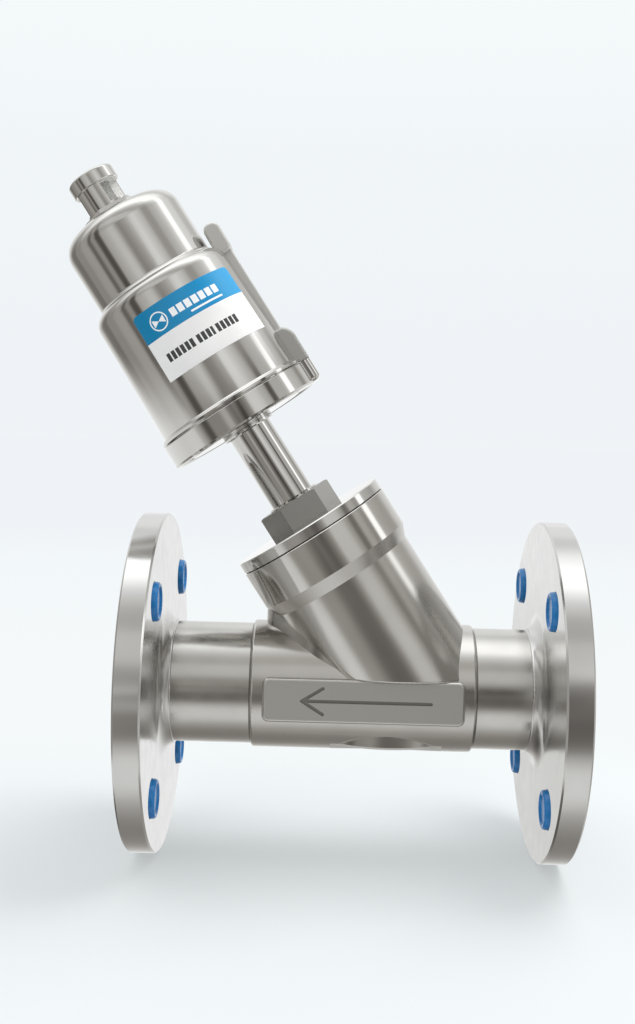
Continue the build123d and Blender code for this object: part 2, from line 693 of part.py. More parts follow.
LABEL_S0, LABEL_S1 = 179.8, 212.4
LABEL_A0, LABEL_A1 = -27.0, 62.0     # angles from the front (-Y) towards the port side, degrees
A0 = radians(LABEL_A0)
LABEL_RADIAL = (sin(A0) * cos(T), -cos(A0), sin(A0) * sin(T))
label_plane = Plane(
    origin=(STEM_X, 0, 0),
    x_dir=LABEL_RADIAL,
    z_dir=Vector(*LABEL_RADIAL).cross(Vector(*STEM_DIR)),
)
with BuildPart() as label:
    with BuildSketch(label_plane):
        with BuildLine():
            Polyline(
                (cyl_r(LABEL_S0) + 0.02, LABEL_S0), (cyl_r(LABEL_S0) + 0.3, LABEL_S0),
                (cyl_r(LABEL_S1) + 0.3, LABEL_S1), (cyl_r(LABEL_S1) + 0.02, LABEL_S1), close=True,
            )
        make_face()
    revolve(axis=STEM_AXIS, revolution_arc=LABEL_A1 - LABEL_A0)
    # rounded upper corners
    upper = [
        e for e in label.edges()
        if e.length < 0.35 and level(0).to_local_coords(e.center()).Z > 200
    ]
    fillet(upper, 2.2)
label.part.label = "label"

# ================================================================ write
pieces = {
    "valve_body": valve_body_done, "inlet_stub": inlet_stub, "outlet_stub": outlet_stub,
    "inlet_flange": inlet_flange, "outlet_flange": outlet_flange,
    "bonnet": bonnet_done, "bonnet_gasket": bonnet_gasket, "packing_spring": packing_spring,
    "packing_washer": packing_washer, "packing_rings": packing_rings, "guide_bush": guide_bush,
    "gland_nut": gland_nut, "yoke_tube": yoke_tube, "tube_lock_ring": tube_lock_ring,
    "swivel_collar": swivel_collar,
    "stem": stem, "plug": plug_done, "plug_pin": plug_pin, "plug_seal": plug_seal,
    "seal_retainer": seal_retainer, "plug_nut": plug_nut, "piston": piston,
    "piston_seal": piston_seal, "piston_wear_ring": piston_wear_ring,
    "piston_washer": piston_washer, "piston_nut": piston_nut, "indicator_rod": indicator_rod,
    "actuator_shell": actuator_shell, "actuator_base": actuator_base, "base_o_ring": base_o_ring,
    "rod_bush": rod_bush, "rod_seal": rod_seal, "port_rail": port_rail,
    "return_spring": return_spring, "indicator_housing": indicator_housing,
    "indicator_o_ring": indicator_o_ring, "label": label,
}
for name, piece in pieces.items():
    piece.part.label = name
    export_step(piece.part, f"parts/{name}.step")
    print(name, round(piece.part.volume, 1), len(piece.part.solids()))
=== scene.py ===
import bpy
import bmesh
import math
from mathutils import Vector, Matrix


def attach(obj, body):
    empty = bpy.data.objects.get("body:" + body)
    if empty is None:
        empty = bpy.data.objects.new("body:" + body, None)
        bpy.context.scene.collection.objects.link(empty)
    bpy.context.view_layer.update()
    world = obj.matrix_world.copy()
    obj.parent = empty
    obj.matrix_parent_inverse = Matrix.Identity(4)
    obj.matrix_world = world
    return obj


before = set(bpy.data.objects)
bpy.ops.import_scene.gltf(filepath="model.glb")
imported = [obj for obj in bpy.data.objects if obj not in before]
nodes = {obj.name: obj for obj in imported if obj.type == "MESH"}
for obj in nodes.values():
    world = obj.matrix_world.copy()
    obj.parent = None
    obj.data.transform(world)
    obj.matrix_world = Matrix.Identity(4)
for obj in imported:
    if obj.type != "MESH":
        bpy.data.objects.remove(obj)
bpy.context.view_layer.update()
scene = bpy.context.scene
scene.view_settings.view_transform = "Standard"
scene.view_settings.look = "None"
scene.view_settings.exposure = 0.0
scene.view_settings.gamma = 1.0

# ------------------------------------------------------------------ geometry facts, in metres (same frame as the CAD)
TILT = math.radians(33.64)
D = Vector((-math.sin(TILT), 0, math.cos(TILT)))      # up the stem
E = Vector((math.cos(TILT), 0, math.sin(TILT)))       # towards the port side
C0 = Vector((-0.0705, 0, 0))                          # stem axis crosses the flow axis
FRONT = Vector((0, -1, 0))


def on_stem(s_mm, r_mm, ang_deg):
    """Point at height s, radius r and angle from the front (-Y) towards the port side."""
    a = math.radians(ang_deg)
    return C0 + D * (s_mm / 1000) + (FRONT * math.cos(a) + E * math.sin(a)) * (r_mm / 1000)


# ------------------------------------------------------------------ camera
YAW, PITCH, ROLL = -0.013580851, 0.070437474, 0.024342139
fw = Vector((math.sin(YAW) * math.cos(PITCH), math.cos(YAW) * math.cos(PITCH), -math.sin(PITCH)))
rt = Vector((math.cos(YAW), -math.sin(YAW), 0))
up = rt.cross(fw)
rt2 = rt * math.cos(ROLL) + up * math.sin(ROLL)
up2 = up * math.cos(ROLL) - rt * math.sin(ROLL)
cam_data = bpy.data.cameras.new("camera")
cam_data.sensor_width = 36.0
cam_data.sensor_fit = "AUTO"
cam_data.lens = 1207.092 * 36.0 / 1024.0
cam_data.clip_start = 0.01
cam_data.clip_end = 50.0
cam = bpy.data.objects.new("camera", cam_data)
scene.collection.objects.link(cam)
cam.matrix_world = Matrix((
    (rt2.x, up2.x, -fw.x, -0.109895),
    (rt2.y, up2.y, -fw.y, -0.570057),
    (rt2.z, up2.z, -fw.z, 0.122610),
    (0, 0, 0, 1),
))
scene.camera = cam


# ------------------------------------------------------------------ node helpers
class Tree:
    """Small helper for writing node trees."""

    def __init__(self, nt):
        self.nt = nt
        self.n = nt.nodes
        self.l = nt.links

    def new(self, kind, **props):
        node = self.n.new(kind)
        for k, v in props.items():
            if k.startswith("in_"):
                key = k[3:]
                key = int(key) if key.isdigit() else key
                node.inputs[key].default_value = v
            else:
                setattr(node, k, v)
        return node

    def link(self, a, b):
        self.l.new(a, b)

    def math(self, op, a, b=None, clamp=False):
        m = self.n.new("ShaderNodeMath")
        m.operation = op
        m.use_clamp = clamp
        for i, v in enumerate((a, b)):
            if v is None:
                continue
            if isinstance(v, (int, float)):
                m.inputs[i].default_value = v
            else:
                self.l.new(v, m.inputs[i])
        return m.outputs[0]

    def maprange(self, v, a, b, c=0.0, d=1.0, smooth=False):
        m = self.n.new("ShaderNodeMapRange")
        m.interpolation_type = "SMOOTHSTEP" if smooth else "LINEAR"
        m.clamp = True
        self.l.new(v, m.inputs["Value"])
        for key, val in (("From Min", a), ("From Max", b), ("To Min", c), ("To Max", d)):
            m.inputs[key].default_value = val
        return m.outputs["Result"]

    def ramp(self, v, stops, interp="EASE"):
        r = self.n.new("ShaderNodeValToRGB")
        r.color_ramp.interpolation = interp
        els = r.color_ramp.elements
        while len(els) > 1:
            els.remove(els[0])
        for i, (pos, col) in enumerate(stops):
            e = els[0] if i == 0 else els.new(pos)
            e.position = pos
            if isinstance(col, (int, float)):
                col = (col, col, col)
            e.color = (col[0], col[1], col[2], 1)
        self.l.new(v, r.inputs["Fac"])
        return r.outputs["Color"]

    def mix(self, fac, a, b, kind="RGBA", blend="MIX"):
        m = self.n.new("ShaderNodeMix")
        m.data_type = kind
        if kind == "RGBA":
            m.blend_type = blend
        ins = [s for s in m.inputs if s.enabled]
        fi, ai, bi = ins[0], ins[1], ins[2]
        for sock, v in ((fi, fac), (ai, a), (bi, b)):
            if isinstance(v, (int, float)):
                sock.default_value = v
            elif isinstance(v, tuple):
                sock.default_value = (*v, 1) if len(v) == 3 else v
            else:
                self.l.new(v, sock)
        return [s for s in m.outputs if s.enabled][0]


# ------------------------------------------------------------------ world: a studio of soft boxes and dark gaps
world = bpy.data.worlds.new("studio")
scene.world = world
world.use_nodes = True
wt = Tree(world.node_tree)
wt.n.clear()
tc = wt.new("ShaderNodeTexCoord")
ray = tc.outputs["Generated"]


def along(vec):
    dot = wt.new("ShaderNodeVectorMath", operation="DOT_PRODUCT")
    wt.link(ray, dot.inputs[0])
    dot.inputs[1].default_value = vec
    return dot.outputs["Value"]


ray_front = along(FRONT)
ray_e = along(E)
ray_d = along(D)
ray_x = along(Vector((1, 0, 0)))
ray_z = along(Vector((0, 0, 1)))
round_stem = wt.maprange(wt.math("ARCTAN2", ray_e, ray_front), -math.pi, math.pi, 0, 1)
round_pipe = wt.maprange(wt.math("ARCTAN2", ray_z, ray_front), -math.pi, math.pi, 0, 1)
off = wt.math("MULTIPLY", wt.math("ARCSINE", ray_d), 180 / math.pi)


def curve(value, points):
    """Brightness against an angle in degrees; the ends are joined."""
    node = wt.new("ShaderNodeFloatCurve")
    c = node.mapping.curves[0]
    while len(c.points) > 2:
        c.points.remove(c.points[1])
    pts = [((a + 180) / 360, v) for a, v in points]
    c.points[0].location = (0.0, pts[0][1])
    c.points[1].location = (1.0, pts[-1][1])
    for x, y in pts[1:-1]:
        c.points.new(x, y)
    for q in c.points:
        q.handle_type = "AUTO_CLAMPED"
    node.mapping.use_clip = False
    node.mapping.update()
    wt.link(value, node.inputs["Value"])
    return node.outputs[0]


# seen round the leaning axis: level, slightly up the stem, slightly down the stem
stem_mid = curve(round_stem, [
    (-180, .66), (-167, .68), (-147, .65), (-127, .62), (-106, .58), (-90, .545), (-76, .56), (-67, .54), (-61, .40),
    (-55, .28), (-50, .15), (-44, .07), (-40, .12), (-35, .20), (-24, .20), (-17, .30), (-13, .34), (-8, .22), (-3, .14),
    (2, .05), (8, .035), (13, .12), (18, .20), (21, .28), (24, .50), (30, .56), (38, .52), (44, .42), (50, .36), (54, .24), (58, .08),
    (62, .16), (66, .38), (74, .38), (80, .42), (84, .62), (87, 1.1), (91, 1.1), (95, .50), (100, .46), (109, .41),
    (115, .32), (120, .25), (125, .36), (133, .50), (145, .58), (160, .61), (170, .60), (180, .66),
])
stem_up = curve(round_stem, [
    (-180, .66), (-167, .52), (-156, .49), (-146, .41), (-136, .26), (-126, .14), (-116, .13), (-106, .20), (-96, .20),
    (-86, .25), (-76, .26), (-69, .18), (-64, .10), (-55, .21), (-48, .08), (-43, .06), (-36, .27), (-24, .36), (-14, .47), (-4, .53),
    (6, .46), (17, .34), (22, .46), (27, .57), (37, .49), (48, .37), (58, .25), (68, .34), (78, .42), (88, .60),
    (96, .95), (101, .9), (106, .60), (119, .54), (129, .42), (139, .40), (149, .47), (159, .63), (170, .70), (180, .66),
])
stem_down = curve(round_stem, [
    (-180, .66), (-167, .50), (-157, .42), (-147, .27), (-137, .16), (-127, .09), (-117, .065), (-106, .08), (-96, .09),
    (-86, .15), (-76, .28), (-70, .46), (-64, .60), (-55, .60), (-45, .46), (-35, .26), (-25, .27), (-14, .18), (-4, .14),
    (6, .10), (12, .14), (17, .21), (22, .34), (27, .48), (37, .48), (48, .35), (54, .24), (58, .15), (64, .28), (68, .36), (74, .32), (79, .25),
    (84, .5), (87, 1.1), (91, 1.1), (95, .50), (100, .40), (110, .36), (120, .34), (130, .40), (140, .54), (150, .57), (160, .62), (170, .64), (180, .66),
])
# seen round the flow axis
pipe_round = curve(round_pipe, [
    (-180, .66), (-170, .66), (-155, .62), (-145, .46), (-135, .33), (-125, .24), (-115, .20), (-105, .19), (-95, .21),
    (-84, .27), (-74, .36), (-64, .50), (-54, .56), (-44, .55), (-37, .46), (-31, .34), (-25, .17), (-18, .11), (-12, .10), (-3, .15), (8, .19),
    (18, .30), (28, .45), (38, .46), (49, .36), (56, .38), (62, .46), (70, .60), (79, .88), (87, 1.05), (96, 1.05), (104, .96), (111, .86),
    (120, .66), (130, .56), (140, .66), (150, .65), (160, .60), (170, .60), (180, .66),
])
round1 = wt.mix(wt.maprange(off, -5, 1.5, 0, 1, smooth=True), stem_down, stem_mid, kind="FLOAT")
round2 = wt.mix(wt.maprange(off, 5, 10, 0, 1, smooth=True), round1, wt.math("MULTIPLY", stem_up, 1.12), kind="FLOAT")
x2 = wt.math("ADD", wt.math("MULTIPLY", ray_x, ray_x), 0.002)
d2 = wt.math("ADD", wt.math("MULTIPLY", ray_d, ray_d), 0.002)
share = wt.math("DIVIDE", x2, wt.math("ADD", x2, d2))
level_light = wt.mix(wt.maprange(share, 0.12, 0.88, 0, 1, smooth=True), pipe_round, round2, kind="FLOAT")
tint = wt.ramp(level_light, [(0.0, (1.05, 0.97, 0.88)), (0.18, (1.03, 0.985, 0.925)), (0.42, (1.01, 1.0, 0.965)), (0.6, (0.99, 1.0, 1.0)), (1.0, (0.99, 1.0, 1.0))], "LINEAR")
grey = wt.new("ShaderNodeCombineXYZ")
for k in range(3):
    wt.link(level_light, grey.inputs[k])
env_col = wt.mix(1.0, grey.outputs[0], tint, blend="MULTIPLY")
bg_env = wt.new("ShaderNodeBackground", in_Strength=1.55)
wt.link(env_col, bg_env.inputs["Color"])
bg_cam = wt.new("ShaderNodeBackground", in_Strength=1.0)
el = wt.math("MULTIPLY", wt.math("ARCSINE", ray_z), 180 / math.pi)
sky = wt.ramp(wt.maprange(el, -20, 22, 0, 1), [
    (0.0, (0.90, 0.945, 0.956)), (0.12, (0.905, 0.945, 0.956)), (0.34, (0.895, 0.935, 0.95)), (0.5, (0.86, 0.895, 0.925)),
    (0.75, (0.875, 0.913, 0.94)), (0.9, (0.905, 0.95, 0.96)), (1.0, (0.925, 0.97, 0.975)),
], "EASE")
wt.link(sky, bg_cam.inputs["Color"])
lp = wt.new("ShaderNodeLightPath")
mixbg = wt.new("ShaderNodeMixShader")
wt.link(lp.outputs["Is Camera Ray"], mixbg.inputs[0])
wt.link(bg_env.outputs[0], mixbg.inputs[1])
wt.link(bg_cam.outputs[0], mixbg.inputs[2])
wout = wt.new("ShaderNodeOutputWorld")
wt.link(mixbg.outputs[0], wout.inputs["Surface"])


# ------------------------------------------------------------------ materials
def stem_coords(t):
    """Object coordinates turned so that Z runs up the stem and X points to the port side."""
    tc = t.new("ShaderNodeTexCoord")
    sub = t.new("ShaderNodeVectorMath", operation="SUBTRACT")
    sub.inputs[1].default_value = C0
    t.link(tc.outputs["Object"], sub.inputs[0])
    rot = t.new("ShaderNodeVectorRotate", rotation_type="Y_AXIS")
    rot.inputs["Angle"].default_value = TILT
    t.link(sub.outputs[0], rot.inputs["Vector"])
    return rot.outputs[0]


def flow_coords(t):
    tc = t.new("ShaderNodeTexCoord")
    return tc.outputs["Object"]


def scaled(t, vec, sx, sy, sz):
    m = t.new("ShaderNodeMapping")
    m.inputs["Scale"].default_value = (sx, sy, sz)
    t.link(vec, m.inputs["Vector"])
    return m.outputs[0]


def noise(t, vec, scale, detail=3.0, rough=0.5):
    n = t.new("ShaderNodeTexNoise")
    n.inputs["Scale"].default_value = scale
    n.inputs["Detail"].default_value = detail
    n.inputs["Roughness"].default_value = rough
    t.link(vec, n.inputs["Vector"])
    return n.outputs["Fac"]


def steel(name, coords, color=(0.62, 0.60, 0.57), rough=0.2, rough_var=0.06, grain_axis=None, grain=0.0,
          blast=0.0, wave=0.0, wave_scale=60.0, aniso=0.0, mottling=0.04, blast_scale=2600.0):
    """Stainless steel: base tone with soft mottling, roughness variation, and bump from turning marks, bead blast and waviness."""
    m = bpy.data.materials.new(name)
    m.use_nodes = True
    t = Tree(m.node_tree)
    t.n.clear()
    out = t.new("ShaderNodeOutputMaterial")
    b = t.new("ShaderNodeBsdfPrincipled")
    b.inputs["Metallic"].default_value = 1.0
    if aniso:
        b.inputs["Anisotropic"].default_value = aniso
    t.link(b.outputs[0], out.inputs["Surface"])
    v = coords(t)
    # tone
    tone = noise(t, v, 38.0, 3.0)
    c_lo = tuple(c * (1 - mottling) for c in color)
    c_hi = tuple(min(1.0, c * (1 + mottling)) for c in color)
    base = t.ramp(tone, [(0.3, c_lo), (0.7, c_hi)], "LINEAR")
    t.link(base, b.inputs["Base Color"])
    # roughness
    rn = noise(t, v, 140.0, 4.0)
    t.link(t.maprange(rn, 0.3, 0.7, max(0.02, rough - rough_var), rough + rough_var), b.inputs["Roughness"])
    # bump
    heights = []
    if grain:
        if grain_axis == "round_z":      # lathe marks around the local Z axis: rings stacked along Z
            g = noise(t, scaled(t, v, 6, 6, 5200), 1.0, 2.0)
        elif grain_axis == "round_x":
            g = noise(t, scaled(t, v, 5200, 6, 6), 1.0, 2.0)
        elif grain_axis == "face_x":     # rings on a face square to X, and round marks on the rim
            sp = t.new("ShaderNodeSeparateXYZ")
            t.link(v, sp.inputs[0])
            r2 = t.math("SQRT", t.math("ADD", t.math("POWER", sp.outputs["Y"], 2.0), t.math("POWER", sp.outputs["Z"], 2.0)))
            cmb = t.new("ShaderNodeCombineXYZ")
            t.link(t.math("MULTIPLY", r2, 3600.0), cmb.inputs[0])
            t.link(t.math("MULTIPLY", sp.outputs["X"], 3600.0), cmb.inputs[1])
            g = noise(t, cmb.outputs[0], 1.0, 2.0)
        elif grain_axis == "face_z":
            sp = t.new("ShaderNodeSeparateXYZ")
            t.link(v, sp.inputs[0])
            r2 = t.math("SQRT", t.math("ADD", t.math("POWER", sp.outputs["X"], 2.0), t.math("POWER", sp.outputs["Y"], 2.0)))
            cmb = t.new("ShaderNodeCombineXYZ")
            t.link(t.math("MULTIPLY", r2, 4200.0), cmb.inputs[0])
            t.link(t.math("MULTIPLY", sp.outputs["Z"], 4200.0), cmb.inputs[1])
            g = noise(t, cmb.outputs[0], 1.0, 2.0)
        heights.append((g, grain))
    if blast:
        heights.append((noise(t, v, blast_scale, 2.0, 0.6), blast))
    if wave:
        heights.append((noise(t, v, wave_scale, 1.0, 0.4), wave))
    prev = None
    for h, amount in heights:
        bump = t.new("ShaderNodeBump")
        bump.inputs["Strength"].default_value = 1.0
        bump.inputs["Distance"].default_value = amount
        t.link(h, bump.inputs["Height"])
        if prev is not None:
            t.link(prev, bump.inputs["Normal"])
        prev = bump.outputs["Normal"]
    if prev is not None:
        t.link(prev, b.inputs["Normal"])
    return m


def plastic(name, color, rough=0.35, spec=0.5, sss=0.0, bump=0.0, coords=flow_coords, var=0.06):
    m = bpy.data.materials.new(name)
    m.use_nodes = True
    t = Tree(m.node_tree)
    t.n.clear()
    out = t.new("ShaderNodeOutputMaterial")
    b = t.new("ShaderNodeBsdfPrincipled")
    b.inputs["Specular IOR Level"].default_value = spec
    t.link(b.outputs[0], out.inputs["Surface"])
    v = coords(t)
    tone = noise(t, v, 90.0, 3.0)
    base = t.ramp(tone, [(0.3, tuple(c * (1 - var) for c in color)), (0.7, tuple(min(1, c * (1 + var)) for c in color))], "LINEAR")
    t.link(base, b.inputs["Base Color"])
    rn = noise(t, v, 400.0, 2.0)
    t.link(t.maprange(rn, 0.3, 0.7, rough * 0.85, rough * 1.15), b.inputs["Roughness"])
    if sss:
        b.inputs["Subsurface Weight"].default_value = sss
        b.inputs["Subsurface Scale"].default_value = 0.002
    if bump:
        bp = t.new("ShaderNodeBump")
        bp.inputs["Distance"].default_value = bump
        t.link(noise(t, v, 1500.0, 2.0), bp.inputs["Height"])
        t.link(bp.outputs[0], b.inputs["Normal"])
    return m


def principled(m):
    return next(n for n in m.node_tree.nodes if n.type == "BSDF_PRINCIPLED")


def overlay(m, mask_of, rough=None, color=None, metallic=None):
    """Change roughness, colour and metallic of a steel where a mask is 1; the mask is built from coordinates in the part's frame."""
    t = Tree(m.node_tree)
    b = principled(m)
    mask = mask_of(t)
    if rough is not None:
        sock = b.inputs["Roughness"]
        old = sock.links[0].from_socket if sock.links else sock.default_value
        t.link(t.mix(mask, old, rough, kind="FLOAT"), sock)
    if color is not None:
        sock = b.inputs["Base Color"]
        old = sock.links[0].from_socket
        t.link(t.mix(mask, old, color), sock)
    if metallic is not None:
        sock = b.inputs["Metallic"]
        old = sock.links[0].from_socket if sock.links else sock.default_value
        t.link(t.mix(mask, old, metallic, kind="FLOAT"), sock)


def part_xyz(t):
    tc = t.new("ShaderNodeTexCoord")
    sp = t.new("ShaderNodeSeparateXYZ")
    t.link(tc.outputs["Object"], sp.inputs[0])
    return sp.outputs["X"], sp.outputs["Y"], sp.outputs["Z"]


def stem_xyz(t):
    sp = t.new("ShaderNodeSeparateXYZ")
    t.link(stem_coords(t), sp.inputs[0])
    return sp.outputs["X"], sp.outputs["Y"], sp.outputs["Z"]


def within(t, value, lo, hi):
    return t.math("MULTIPLY", t.math("GREATER_THAN", value, lo), t.math("LESS_THAN", value, hi))


def neck_top(t):
    return t.maprange(stem_xyz(t)[2], 0.0696, 0.0700, 0, 1)


def neck_cone(t):
    x, y, z = stem_xyz(t)
    return within(t, z, 0.0634, 0.0698)


def neck_wall(t):
    x, y, z = stem_xyz(t)
    r = t.math("SQRT", t.math("ADD", t.math("MULTIPLY", x, x), t.math("MULTIPLY", y, y)))
    return t.math("MULTIPLY", t.math("GREATER_THAN", r, 0.0353), t.math("LESS_THAN", z, 0.0640))


def pad_face(t):
    x, y, z = part_xyz(t)
    deep = t.math("GREATER_THAN", t.math("ABSOLUTE", y), 0.03148)
    return t.math("MULTIPLY", deep, t.math("LESS_THAN", z, 0.0078))


# Mask of the engraved flow arrow; its groove is given painted shade.
def arrow_groove_painted_shade(t):
    x, y, z = part_xyz(t)
    z = t.math("ADD", z, 0.0013)
    deep = within(t, t.math("ABSOLUTE", y), 0.0300, 0.03149)
    shaft = t.math("MULTIPLY", within(t, z, -0.00078, 0.00078), within(t, x, -0.1232, -0.0628))
    dx = t.math("ADD", x, 0.1223)
    acc = shaft
    for tilt in (32, -32):
        c, q = math.cos(math.radians(tilt)), math.sin(math.radians(tilt))
        along_head = t.math("ADD", t.math("MULTIPLY", dx, c), t.math("MULTIPLY", z, q))
        across = t.math("SUBTRACT", t.math("MULTIPLY", z, c), t.math("MULTIPLY", dx, q))
        head = t.math("MULTIPLY", within(t, across, -0.00078, 0.00078), within(t, along_head, -0.0009, 0.0121))
        acc = t.math("MAXIMUM", acc, head)
    return t.math("MULTIPLY", acc, deep)


M_CAST = steel("cast_satin_steel", stem_coords, (0.60, 0.585, 0.56), rough=0.24, rough_var=0.03, blast=0.000006, blast_scale=2600, wave=0.00005, wave_scale=45, mottling=0.04)
overlay(M_CAST, neck_wall, rough=0.19)
overlay(M_CAST, neck_cone, rough=0.27)
overlay(M_CAST, neck_top, rough=0.075)
overlay(M_CAST, pad_face, rough=0.44, color=(0.69, 0.69, 0.665))


# Mask of the underside scoop walls, which get painted light.
def boss_wall_painted_light(t):
    x, y, z = part_xyz(t)
    dx = t.math("ADD", x, 0.083)
    return t.math("MULTIPLY", t.math("LESS_THAN", z, -0.0240), t.math("LESS_THAN", t.math("ABSOLUTE", dx), 0.026))


# painted reflection: a near-white colour stands in for the bright floor reflected in the underside scoop
overlay(M_CAST, boss_wall_painted_light, rough=0.55, color=(0.92, 0.92, 0.905))
# painted shade: the engraved arrow's groove is darkened in colour, as if shadowed
overlay(M_CAST, arrow_groove_painted_shade, rough=0.6, color=(0.33, 0.32, 0.30))
M_PIPE = steel("pipe_steel", flow_coords, (0.61, 0.60, 0.575), rough=0.19, rough_var=0.04, grain_axis="round_x", grain=0.000004, wave=0.00003, wave_scale=50, mottling=0.05)
M_FLANGE = steel("flange_turned_steel", flow_coords, (0.66, 0.655, 0.645), rough=0.20, rough_var=0.04, grain_axis="face_x", grain=0.000004, wave=0.00002, wave_scale=40, mottling=0.03)


def flange_rim(t):
    x, y, z = part_xyz(t)
    return t.math("GREATER_THAN", t.math("ADD", t.math("MULTIPLY", y, y), t.math("MULTIPLY", z, z)), 0.0796 ** 2)


overlay(M_FLANGE, flange_rim, rough=0.13)
M_POLISH = steel("polished_steel", stem_coords, (0.645, 0.635, 0.615), rough=0.05, rough_var=0.015, wave=0.00004, wave_scale=42, mottling=0.02)
M_MACHINED = steel("machined_steel", stem_coords, (0.635, 0.625, 0.605), rough=0.075, rough_var=0.02, wave=0.00001, wave_scale=60, mottling=0.03)
M_HEX = steel("hex_steel", stem_coords, (0.55, 0.54, 0.52), rough=0.30, rough_var=0.05, blast=0.00001, mottling=0.05)
M_BONNET = steel("bonnet_steel", stem_coords, (0.635, 0.625, 0.605), rough=0.075, rough_var=0.02, wave=0.00001, wave_scale=60, mottling=0.03)


def hex_zone(t):
    return t.math("GREATER_THAN", stem_xyz(t)[2], 0.09385)


overlay(M_BONNET, hex_zone, rough=0.36, color=(0.50, 0.495, 0.475))
M_RAIL = steel("rail_steel", stem_coords, (0.76, 0.76, 0.745), rough=0.30, rough_var=0.03, wave=0.00002, wave_scale=60, mottling=0.03)


def rail_side(t):
    x, y, z = stem_xyz(t)
    return t.math("GREATER_THAN", t.math("ABSOLUTE", y), 0.0056)


overlay(M_RAIL, rail_side, rough=0.50, color=(0.82, 0.82, 0.80))


def rail_low_side(t):
    x, y, z = stem_xyz(t)
    return t.math("MULTIPLY", t.math("GREATER_THAN", t.math("ABSOLUTE", y), 0.0060), t.math("LESS_THAN", z, 0.200))


overlay(M_RAIL, rail_low_side, color=(0.62, 0.62, 0.60))
M_INDICATOR = steel("indicator_steel", stem_coords, (0.645, 0.635, 0.615), rough=0.07, rough_var=0.015, wave=0.00003, wave_scale=60, mottling=0.02)


# Mask of the inner walls of the indicator window, which get painted light.
def indicator_inside_painted_light(t):
    x, y, z = stem_xyz(t)
    r2 = t.math("ADD", t.math("MULTIPLY", x, x), t.math("MULTIPLY", y, y))
    return t.math("MULTIPLY", t.math("LESS_THAN", r2, 0.0105 ** 2), within(t, z, 0.2661, 0.2829))


# painted light: the window's inner walls are made whitish and less metallic to stand in for the brightness seen through
# the window
overlay(M_INDICATOR, indicator_inside_painted_light, rough=0.55, color=(0.80, 0.80, 0.785), metallic=0.35)


def indicator_hex(t):
    return within(t, stem_xyz(t)[2], 0.2610, 0.2651)


overlay(M_INDICATOR, indicator_hex, rough=0.38, color=(0.74, 0.73, 0.71))
M_SPRING = steel("spring_wire", stem_coords, (0.40, 0.39, 0.38), rough=0.3, rough_var=0.05)
M_ALLOY = steel("piston_alloy", stem_coords, (0.75, 0.75, 0.76), rough=0.28, rough_var=0.05, grain_axis="round_z", grain=0.000004)
M_BRONZE = steel("bearing_bronze", stem_coords, (0.62, 0.42, 0.20), rough=0.3, rough_var=0.06, grain_axis="round_z", grain=0.000004)
M_RUBBER = plastic("black_elastomer", (0.012, 0.012, 0.012), rough=0.5, bump=0.00001)
M_PTFE = plastic("white_fluoropolymer", (0.82, 0.82, 0.80), rough=0.4)
M_BLUE = plastic("blue_polyethylene", (0.004, 0.17, 0.47), rough=0.25, spec=0.6, bump=0.000004)


